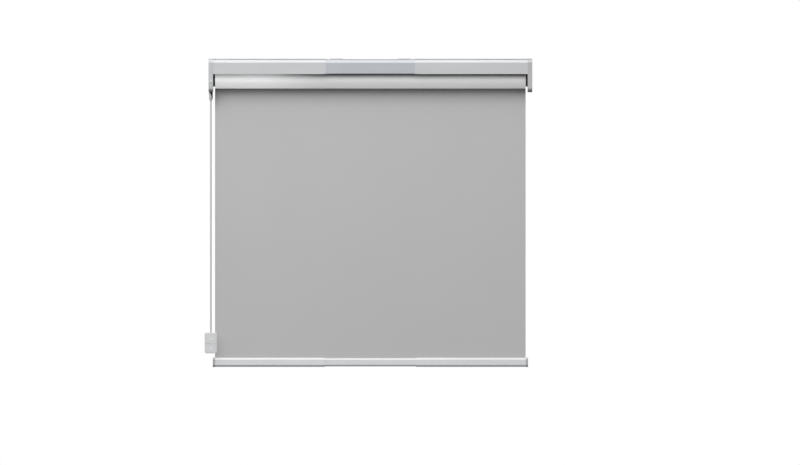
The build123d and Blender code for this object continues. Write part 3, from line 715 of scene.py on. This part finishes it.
# ---- idler spring, wider in the middle so that it can close up evenly -------------------------------------------------------
def coil_spring():
    x0, x1, turns, r, wire = 0.43985, 0.45565, 6.0, 0.0023, 0.00035
    n = int(turns * 28)
    grid = np.linspace(0, 1, 401)
    w = grid * grid * (3 - 2 * grid)
    closed = grid * (x1 - x0) - 0.008 * w          # where each point goes when the pin is right in
    target = 0.55 * (closed - closed[0]) / (closed[-1] - closed[0]) + 0.45 * grid
    pts = []
    for i in range(n + 1):
        g = float(np.interp(i / n, target, grid))
        ph = 2 * math.pi * turns * i / n
        pts.append((x0 + wire + (x1 - x0 - 2 * wire) * g, ROLL_Y + r * math.cos(ph), ROLL_Z + r * math.sin(ph)))
    return dress(tube("idler_spring_coil", pts, wire, 10), "steel_turned")


spring = coil_spring()
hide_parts("idler_spring")
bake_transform(spring)


# ---- stage, light ---------------------------------------------------------------------------------------------------------
def plane(name, x, y0, y1, z):
    return mesh_object(name, [(-x, y0, z), (x, y0, z), (x, y1, z), (-x, y1, z)], [(0, 1, 2, 3)], smooth=False, recalc=False)


floor = plane("floor", 9.0, -14.0, 3.0, -1.29)
fm = Mat("floor_pale", (0.80, 0.80, 0.80), 0.9, 0.0, Specular_IOR_Level=0.1)
fm_slow = fm.noise(fm.at(), 1.2, 2.0)
fm.out(fm.mix(fm.span(fm_slow, 0.3, 0.7, 0.0, 1.0), (0.79, 0.79, 0.79), (0.81, 0.81, 0.81)))
# Seen from above only, so that the object can be looked at from below.
fm_clear, fm_side, fm_pick = fm.node("ShaderNodeBsdfTransparent"), fm.node("ShaderNodeNewGeometry"), fm.node("ShaderNodeMixShader")
fm.link(fm_side.outputs["Backfacing"], fm_pick.inputs[0])
fm.link(fm.b.outputs[0], fm_pick.inputs[1])
fm.link(fm_clear.outputs[0], fm_pick.inputs[2])
fm.link(fm_pick.outputs[0], fm.nt.nodes["Material Output"].inputs["Surface"])
floor.data.materials.append(fm.m)
floor.visible_diffuse = False
floor.visible_glossy = False

SC.view_settings.view_transform = "Standard"
SC.view_settings.look = "None"
SC.view_settings.exposure = 0.0
SC.view_settings.gamma = 1.0

# White for the camera; for light, a pale upper half and a dim lower half.
UPPER, LOWER = 0.80, 0.12
world = bpy.data.worlds.new("studio")
SC.world = world
world.use_nodes = True
wn, wl = world.node_tree.nodes, world.node_tree.links
for n in list(wn):
    wn.remove(n)
out = wn.new("ShaderNodeOutputWorld")
mixer = wn.new("ShaderNodeMixShader")
path = wn.new("ShaderNodeLightPath")
white = wn.new("ShaderNodeBackground")
white.inputs[0].default_value = (1, 1, 1, 1)
white.inputs[1].default_value = 1.0
sky = wn.new("ShaderNodeBackground")
tc = wn.new("ShaderNodeTexCoord")
sep = wn.new("ShaderNodeSeparateXYZ")
ramp = wn.new("ShaderNodeMapRange")
ramp.inputs[1].default_value, ramp.inputs[2].default_value = -0.12, 0.12
ramp.inputs[3].default_value, ramp.inputs[4].default_value = LOWER, UPPER
wl.new(tc.outputs["Generated"], sep.inputs[0])
wl.new(sep.outputs[2], ramp.inputs[0])
sky.inputs[0].default_value = (0.985, 0.992, 1.0, 1)
wl.new(ramp.outputs[0], sky.inputs[1])
wl.new(path.outputs["Is Camera Ray"], mixer.inputs[0])
wl.new(sky.outputs[0], mixer.inputs[1])
wl.new(white.outputs[0], mixer.inputs[2])
wl.new(mixer.outputs[0], out.inputs[0])


def some(name, objects, leave_out=False):
    """A collection that a lamp is kept to, or one that it leaves out."""
    c = bpy.data.collections.new(name)
    for x in objects:
        c.objects.link(x)
    if leave_out:
        for x in c.collection_objects:
            x.light_linking.link_state = "EXCLUDE"
    return c


def aimed(o, at, to):
    o.location = at
    o.rotation_euler = (Vector(to) - Vector(at)).to_track_quat("-Z", "Y").to_euler()
    o.visible_camera = False
    SC.collection.objects.link(o)
    return o


def softbox(name, at, to, w, h, power, only=None, blockers=None):
    d = bpy.data.lights.new(name, "AREA")
    d.shape = "RECTANGLE"
    d.size, d.size_y = w, h
    d.energy = power
    d.color = (1.0, 0.995, 0.985)
    o = aimed(bpy.data.objects.new(name, d), at, to)
    if only:
        o.light_linking.receiver_collection = only
    if blockers:
        o.light_linking.blocker_collection = blockers
    return o


def spot(name, at, to, radius, reach, power, only):
    """A round patch of light with a soft edge; reach is its radius where it lands."""
    d = bpy.data.lights.new(name, "SPOT")
    d.energy = power
    d.shadow_soft_size = radius
    d.spot_size = 2 * math.atan(reach / (Vector(to) - Vector(at)).length)
    d.spot_blend = 0.6
    o = aimed(bpy.data.objects.new(name, d), at, to)
    o.light_linking.receiver_collection = only
    o.light_linking.blocker_collection = only
    return o


def from_side(target, azimuth, elevation, distance):
    """A place at a distance from target; azimuth 0 is straight in front, negative is to the left."""
    a, e = math.radians(azimuth), math.radians(elevation)
    return (target[0] + distance * math.cos(e) * math.sin(a), target[1] - distance * math.cos(e) * math.cos(a), target[2] + distance * math.sin(e))


AIM = (0.0, -0.04, -0.35)
ROLL_AT = (0.0, ROLL_Y, ROLL_Z)
not_roll = some("all_but_the_roll", [wound], leave_out=True)
the_roll = some("roll_alone", [wound])
hanging = [NODES[n] for n in ("pendant_front", "pendant_back", "button_up", "button_down", "pendant_board", "light_pipe")] + [cord_tube]
not_pendant = some("all_but_the_pendant", hanging, leave_out=True)
softbox("key", from_side(AIM, -22, 40, 6.0), AIM, 3.9, 4.05, 246.0, only=not_roll, blockers=not_pendant)
softbox("key_2", from_side(AIM, -26, 40, 6.0), AIM, 3.9, 4.05, 37.0, only=not_roll)
low = [NODES[n] for n in ("bottom_rail_profile", "bottom_sleeve_left", "bottom_sleeve_right", "bottom_cap_left", "bottom_cap_right")]
upper = some("neither_roll_nor_bottom_rail", [wound] + low, leave_out=True)
softbox("top_strip", (0.0, -0.36, 1.25), (0.0, -0.06, 0.02), 1.8, 0.3, 2.0, only=upper)
softbox("roll_key", from_side(ROLL_AT, -16, 69, 3.0), ROLL_AT, 2.0, 1.5, 50.0, only=the_roll)
softbox("roll_low", from_side(ROLL_AT, 0, -50, 1.55), ROLL_AT, 1.8, 0.5, 20.0, only=the_roll)
LEFT_ROLL = (-0.46, ROLL_Y - 0.02, ROLL_Z + 0.01)
spot("roll_left_high", from_side(LEFT_ROLL, 0, 72, 3.0), LEFT_ROLL, 0.10, 0.27, 168.0, the_roll)
spot("roll_left_low", from_side(LEFT_ROLL, 0, -45, 3.0), LEFT_ROLL, 0.10, 0.27, 78.0, the_roll)
